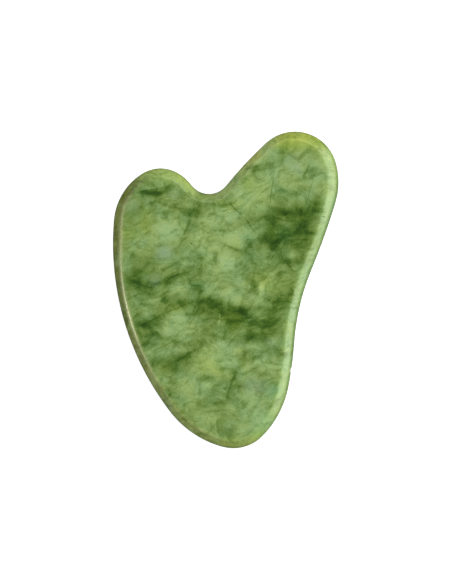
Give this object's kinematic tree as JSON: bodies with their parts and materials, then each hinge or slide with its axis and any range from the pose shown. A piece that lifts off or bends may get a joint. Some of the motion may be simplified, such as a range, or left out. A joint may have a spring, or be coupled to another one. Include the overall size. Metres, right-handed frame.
{
  "type": "gua sha scraper",
  "caption": "Flat heart-shaped gua sha scraper in polished green jade, with a tall lobe, a short lobe, a round notch between them and bevelled edges.",
  "frame": {"origin": "middle of the bounding box on the lower face, which lies on the table", "axes": "+Z through the thickness, away from the table; +Y along the plate's length, towards the tall lobe; +X towards the side with the shallow waist"},
  "size_m": [0.0554, 0.085, 0.006],
  "materials": {
    "jade": "polished, cloudy mottled green with olive edges"
  },
  "bodies": {
    "root": {"jade_plate": "jade"}
  },
  "joints": []
}
